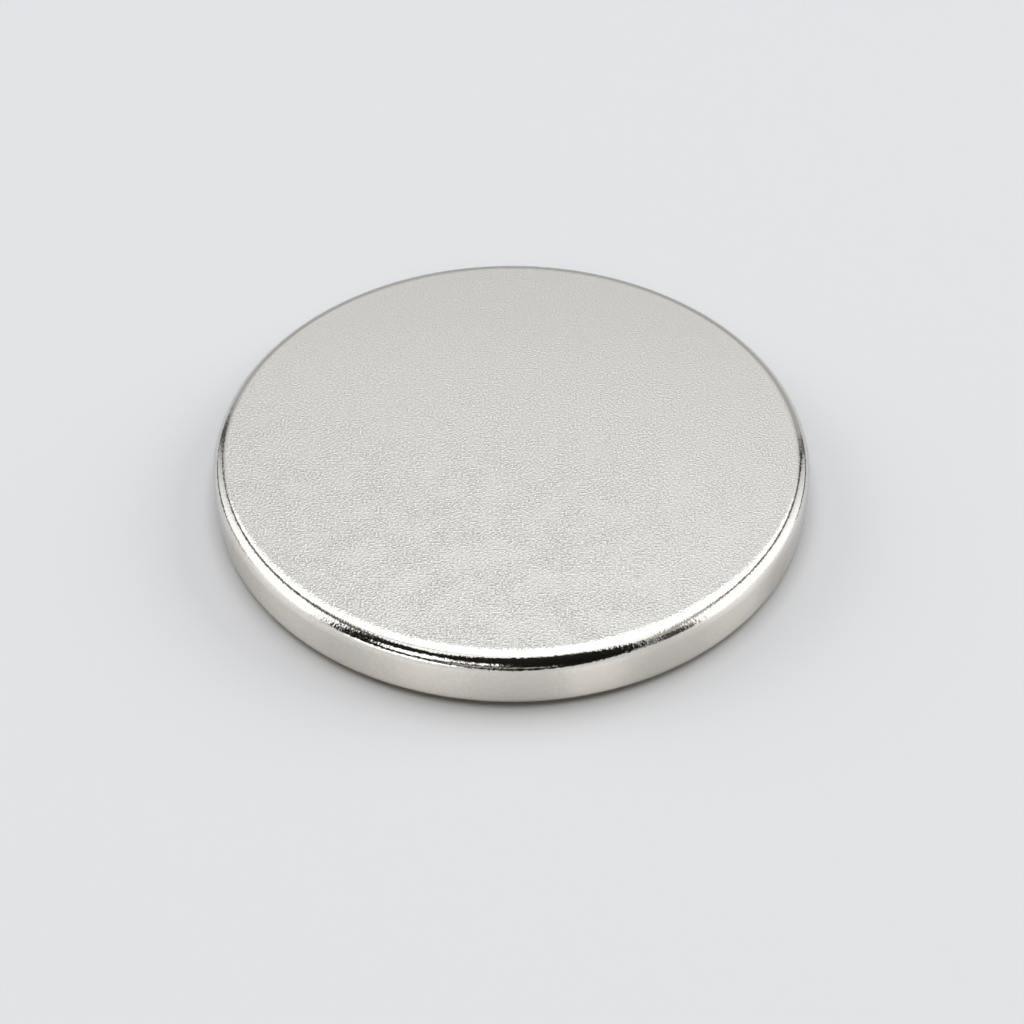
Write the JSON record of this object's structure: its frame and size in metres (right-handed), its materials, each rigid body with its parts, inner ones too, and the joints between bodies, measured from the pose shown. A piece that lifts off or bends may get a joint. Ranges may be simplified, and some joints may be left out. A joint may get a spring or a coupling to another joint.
{
  "type": "disc magnet",
  "caption": "Flat round nickel-plated disc magnet with fine-grained satin pole faces and smoothly rounded, polished rims.",
  "frame": {"origin": "middle of the lower flat face, where the disc rests", "axes": "+Z through the thickness, from the lower face to the upper; X and Y lie in the disc and are equivalent"},
  "size_m": [0.03, 0.03, 0.003],
  "materials": {
    "nickel_plating": "satin nickel plating, finely grained on the flat faces and polished on the rims"
  },
  "bodies": {
    "root": {"disc_magnet": "nickel_plating"}
  },
  "joints": []
}
